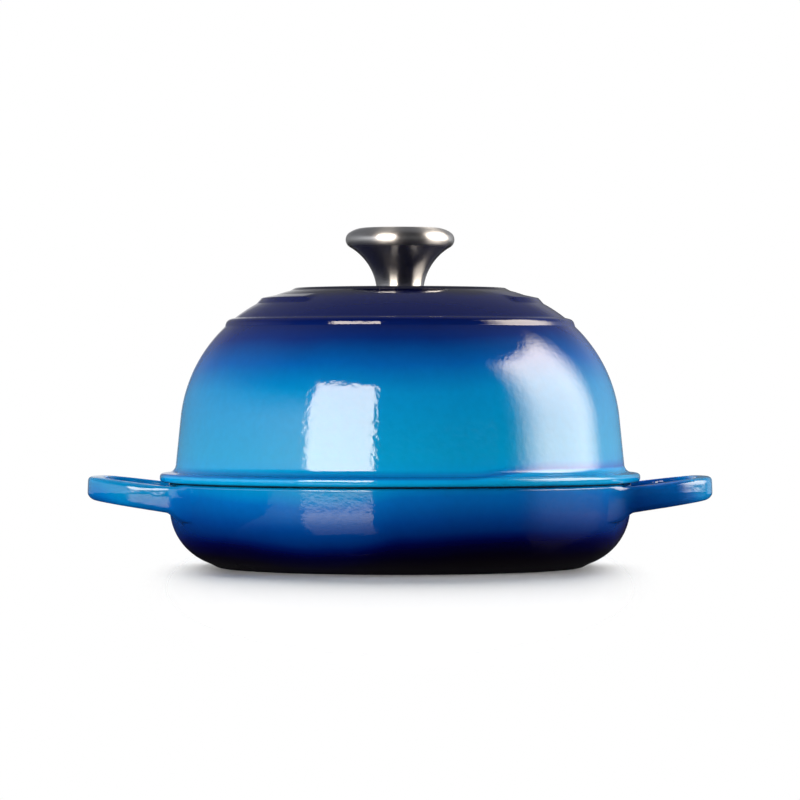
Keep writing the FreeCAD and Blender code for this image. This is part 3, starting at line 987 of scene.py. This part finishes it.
white = (1, 1, 1, 1)
black = (0, 0, 0, 1)
warm = (1.0, 0.87, 0.72, 1)
left_pale = (0.45, 0.45, 0.46, 1)
front_tone = (0.035, 0.035, 0.040, 1)
back_tone = (0.20, 0.20, 0.21, 1)
white_to = math.sin(math.radians(6.0))
white_edge = 0.01
dark_from = math.sin(math.radians(10.0))
backdrop_to = math.sin(math.radians(28.0))
backdrop_aside = (0.70, 0.95)
room_turn = (-0.35, 0.35)
pale_turn = (-0.30, 0.30)
lamp_distance = 3.0
wall_steps = 48

world = bpy.data.worlds.new("studio")
bpy.context.scene.world = world
world.use_nodes = True
world.node_tree.nodes.clear()
start = Shade(world.node_tree)
side, ahead, up = start.add("ShaderNodeTexCoord", output="Generated").axes()
room = ahead.ramp(*room_turn).between(front_tone, back_tone)
walls = up.ramp(white_to, dark_from).between(white, room)
pale = side.ramp(*pale_turn).between(left_pale, white)
backdrop = up.ramp(white_to, backdrop_to).between(pale, room)
backdrop = up.ramp(white_to, white_to + white_edge).between(white, backdrop)
surround = ahead.ramp(*backdrop_aside).between(walls, backdrop)
sky = start.add("ShaderNodeBackground", inputs={"Color": surround, "Strength": 1.0})
start.add("ShaderNodeOutputWorld", inputs={"Surface": sky})


def aimed(made, place, target):
    """Puts a lamp or the camera at a place, looking at a target."""
    made.location = place
    made.rotation_euler = (Vector(target) - Vector(place)).to_track_quat("-Z", "Y").to_euler()
    bpy.context.scene.collection.objects.link(made)
    return made


def soft_light(name, azimuth, elevation, strength, spread):
    """A wide lamp that makes no glint of its own, by its direction and its width in degrees."""
    light = bpy.data.lights.new(name, "SUN")
    light.energy = strength
    light.angle = math.radians(spread)
    turn, rise = math.radians(azimuth), math.radians(elevation)
    flat = lamp_distance * math.cos(rise)
    place = (flat * math.sin(turn), -flat * math.cos(turn), lamp_distance * math.sin(rise))
    made = aimed(bpy.data.objects.new(name, light), place, (0, 0, 0))
    made.visible_glossy = False


soft_light("top_light", azimuth=180, elevation=33, strength=4.4, spread=54)
soft_light("left_light", azimuth=-52, elevation=4, strength=2.25, spread=50)
soft_light("front_fill", azimuth=0, elevation=8, strength=0.50, spread=60)
soft_light("right_light", azimuth=98, elevation=4, strength=2.8, spread=50)


def glow_wall(name, azimuths, distance, heights, level, fades, tone=white, shares=(1, 1), low_share=1.0):
    """A glowing upright sheet, bent round the object, that only shows in gloss.

    The fades are the parts of its length and height over which its first end, its last end, its foot
    and its top turn clear. shares are the parts of the level at its two ends, as azimuths gives them,
    and low_share is the part at its foot.
    """
    first, last = (math.radians(azimuth) for azimuth in azimuths)
    low, high = heights
    first_fade, last_fade, low_fade, top_fade = fades
    made = strip(name, (first, last), [(distance, height) for height in heights], wall_steps)
    material, start = new_finish(name)
    place = start.add("ShaderNodeTexCoord", output="Object")
    x, y, z = place.axes()
    middle = (first + last) / 2
    right_of_middle = x * math.cos(middle) + y * math.sin(middle)
    towards_middle = x * math.sin(middle) - y * math.cos(middle)
    across = start.sum("ARCTAN2", right_of_middle, towards_middle) * (1 / (last - first)) + 0.5
    up = (z - low) * (1 / (high - low))
    edges = across.ramp(0.0, first_fade) * (1 - across.ramp(1 - last_fade, 1.0))
    edges = edges * up.ramp(0.0, low_fade) * (1 - up.ramp(1 - top_fade, 1.0))
    share = (shares[0] + across * across * (shares[1] - shares[0])) * (low_share + up * (1 - low_share))
    glow = start.add("ShaderNodeEmission", inputs={"Color": share.between(black, tone), "Strength": level})
    clear = start.add("ShaderNodeBsdfTransparent")
    both = start.add("ShaderNodeMixShader", inputs={0: edges, 1: clear, 2: glow})
    start.add("ShaderNodeOutputMaterial", inputs={"Surface": both})
    made.data.materials.append(material)
    staged(made, camera=False, bounce=False, gloss=True)


glow_wall(
    "left_soft_box", azimuths=(-50.5, -12), distance=1.6, heights=(0.09, 1.24), level=17.8,
    fades=(0.14, 0.05, 0.12, 0.05), tone=warm,
)
glow_wall(
    "right_soft_box", azimuths=(57, 130), distance=1.6, heights=(0.04, 1.93), level=19.0,
    fades=(0.34, 0.35, 0.06, 0.26), tone=warm, shares=(1, 0.5), low_share=0.60,
)
glow_wall(
    "left_wall", azimuths=(-168, -46), distance=1.2, heights=(0.0, 0.74), level=2.3,
    fades=(0.03, 0.03, 0.001, 0.75), shares=(0.08, 1),
)
glow_wall(
    "right_wall", azimuths=(178, 116), distance=1.2, heights=(0.0, 0.86), level=1.3,
    fades=(0.03, 0.20, 0.001, 0.75), shares=(0.10, 1),
)
glow_wall(
    "right_near_wall", azimuths=(50, 76), distance=1.75, heights=(0.0, 1.10), level=2.6,
    fades=(0.03, 0.03, 0.10, 0.6), shares=(0, 1),
)
# Painted light: the two cloths glow by themselves, the grey one brightly, and show only in the gloss.
glow_wall(
    "dark_glowing_cloth", azimuths=(-130, 130), distance=1.95, heights=(-0.35, 0.36), level=0.05,
    fades=(0.05, 0.05, 0.01, 0.05),
)
glow_wall(
    "grey_glowing_cloth", azimuths=(126, 234), distance=1.97, heights=(-0.35, 0.36), level=0.72,
    fades=(0.05, 0.05, 0.01, 0.10),
)

# Camera: a long lens 2.2 m away, a little above the middle of the lid and square to the handles.
# From there the curves of the rim and the foot are as flat as they look across a table.

camera_place = (0, -2.19, 0.098)
camera_target = (0, 0, 0.0875)
camera_lens = 187.65
camera_sensor = 36

camera = bpy.data.objects.new("camera", bpy.data.cameras.new("camera"))
camera.data.lens = camera_lens
camera.data.sensor_width = camera_sensor
aimed(camera, camera_place, camera_target)
bpy.context.scene.camera = camera
bpy.context.scene.view_settings.view_transform = "Standard"
